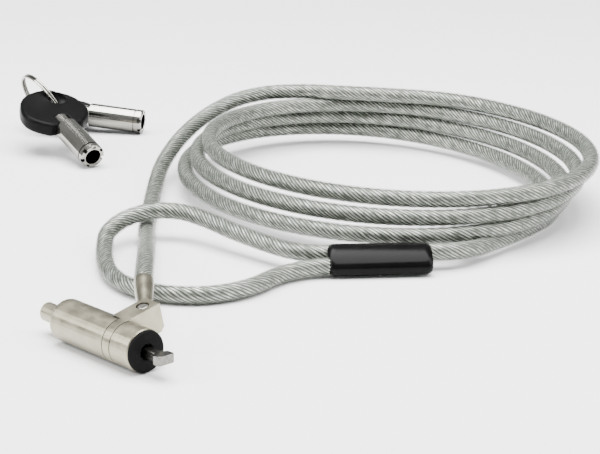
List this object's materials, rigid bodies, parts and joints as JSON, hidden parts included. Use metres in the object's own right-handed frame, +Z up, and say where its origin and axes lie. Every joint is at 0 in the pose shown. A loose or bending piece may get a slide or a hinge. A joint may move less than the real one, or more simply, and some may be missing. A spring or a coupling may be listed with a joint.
{
  "type": "laptop cable lock",
  "caption": "Laptop cable lock: tubular-key lock head with a turning T-bar on a swivelling lug, a coiled plastic-coated steel cable with a crimped eye, and keys on a split ring.",
  "frame": {"origin": "on the surface that the set lies on, under the middle of the box around the lock head and the keys, without the cable", "axes": "+X along the lock's axis, out of the T-bar nose; +Z up; the cable's coil lies towards +Y"},
  "size_m": [0.264, 0.2534, 0.0267],
  "materials": {
    "satin_nickel": "satin nickel plate, lightly brushed",
    "polished_nickel": "bright nickel plate",
    "steel": "plain hardened steel, smooth",
    "brass": "turned brass",
    "black_rubber": "matt black rubber",
    "bow_plastic": "black moulded plastic with a soft sheen",
    "sleeve_plastic": "glossy black plastic",
    "coated_cable": "clear plastic coat over bright steel wire rope",
    "crimp_aluminium": "pressed aluminium"
  },
  "bodies": {
    "cable": {"cable_lead": "coated_cable", "cable_link": "coated_cable", "cable_eye": "coated_cable", "cable_coil": "coated_cable", "crimp_sleeve": "sleeve_plastic", "crimp_block": "crimp_aluminium", "cable_ferrule": "satin_nickel"},
    "lug": {"swivel_lug": "satin_nickel", "lug_rivet": "polished_nickel"},
    "lock_body": {"barrel_shell": "satin_nickel", "nose_collar": "satin_nickel", "retaining_bush": "steel", "bumper_pad": "black_rubber", "pin_housing": "brass", "driver_pin_1": "steel", "driver_pin_2": "steel", "driver_pin_3": "steel", "driver_pin_4": "steel", "driver_pin_5": "steel", "driver_pin_6": "steel", "driver_pin_7": "steel", "pin_spring_1": "steel", "pin_spring_2": "steel", "pin_spring_3": "steel", "pin_spring_4": "steel", "pin_spring_5": "steel", "pin_spring_6": "steel", "pin_spring_7": "steel"},
    "lock_core": {"key_plug": "satin_nickel", "tbar": "steel", "drive_coupler": "steel", "coupler_pin": "steel", "key_pin_1": "brass", "key_pin_2": "brass", "key_pin_3": "brass", "key_pin_4": "brass", "key_pin_5": "brass", "key_pin_6": "brass", "key_pin_7": "brass"},
    "ring": {"split_ring": "polished_nickel"},
    "back_key": {"back_key_bow": "bow_plastic", "back_key_tube": "polished_nickel"},
    "front_key": {"front_key_bow": "bow_plastic", "front_key_tube": "polished_nickel"}
  },
  "joints": [
    {"name": "ferrule_hinge", "type": "hinge", "parent": "cable", "child": "lug", "pos_m": [0.10999, -0.07327, 0.01069], "axis": [0, -0.2079, 0.9781], "range_deg": [-30, 40]},
    {"name": "lug_swivel", "type": "hinge", "parent": "lug", "child": "lock_body", "pos_m": [0.11114, -0.08311, 0.0065], "axis": [1, 0, 0], "continuous": true},
    {"name": "key_turn", "type": "hinge", "parent": "lock_body", "child": "lock_core", "pos_m": [0.12314, -0.08311, 0.0065], "axis": [1, 0, 0], "range_deg": [0, 90]},
    {"name": "key_set_lift", "type": "slide", "parent": "cable", "child": "ring", "axis": [0, 0, 1], "range_m": [0, 0.05]},
    {"name": "back_key_swing", "type": "hinge", "parent": "ring", "child": "back_key", "pos_m": [-0.12281, 0.05689, 0.00897], "axis": [0, 0, 1], "range_deg": [0, 25]},
    {"name": "front_key_swing", "type": "hinge", "parent": "ring", "child": "front_key", "pos_m": [-0.09935, 0.04956, 0.01669], "axis": [0, 0, 1], "range_deg": [-25, 0]}
  ]
}
